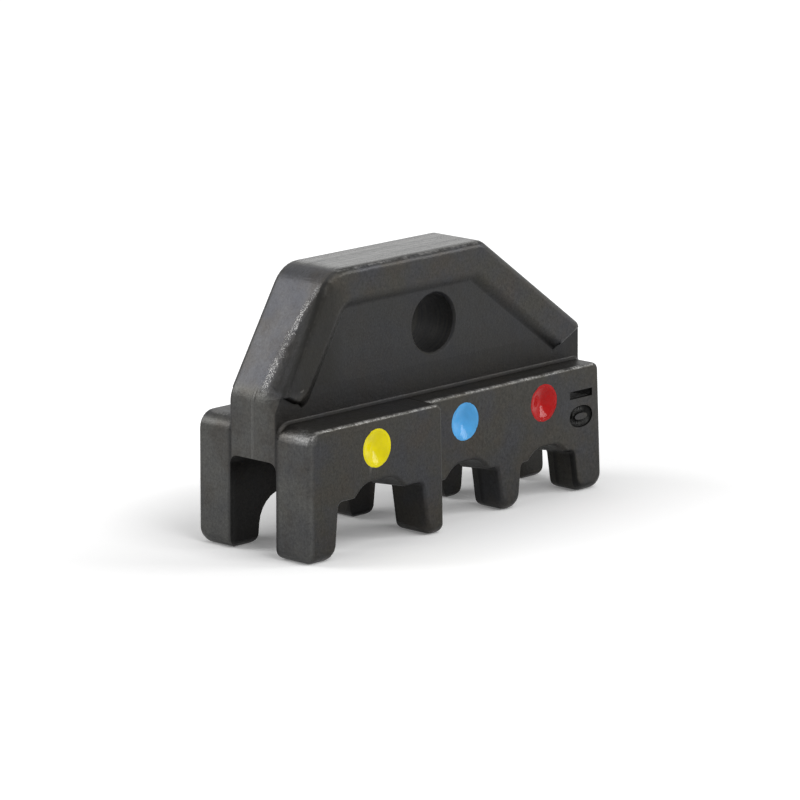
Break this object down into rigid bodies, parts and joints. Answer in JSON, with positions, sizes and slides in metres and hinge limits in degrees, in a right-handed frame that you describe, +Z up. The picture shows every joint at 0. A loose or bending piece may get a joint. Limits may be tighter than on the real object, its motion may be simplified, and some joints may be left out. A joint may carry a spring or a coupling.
{
  "type": "crimp die",
  "caption": "Half of a crimp die pair for a hand tool: screw-on tang, stepped shoulder and arched crimp nests with coloured marks.",
  "frame": {"origin": "middle of the die's length and depth, at the level of the leg tips", "axes": "+X along the row of nests, from the largest to the smallest; +Y through the nests, from the marked face to the plain one; +Z up, from the legs to the tang"},
  "size_m": [0.0376, 0.013, 0.0236],
  "materials": {
    "black_oxide_steel": "black oxide, satin, with fine grain and rubbed edges",
    "yellow_lacquer": "glossy lacquer, dried slightly hollow",
    "blue_lacquer": "glossy lacquer, dried slightly hollow",
    "red_lacquer": "glossy lacquer, dried slightly hollow"
  },
  "bodies": {
    "root": {"die_body": "black_oxide_steel", "yellow_lacquer_dot": "yellow_lacquer", "blue_lacquer_dot": "blue_lacquer", "red_lacquer_dot": "red_lacquer"}
  },
  "joints": []
}
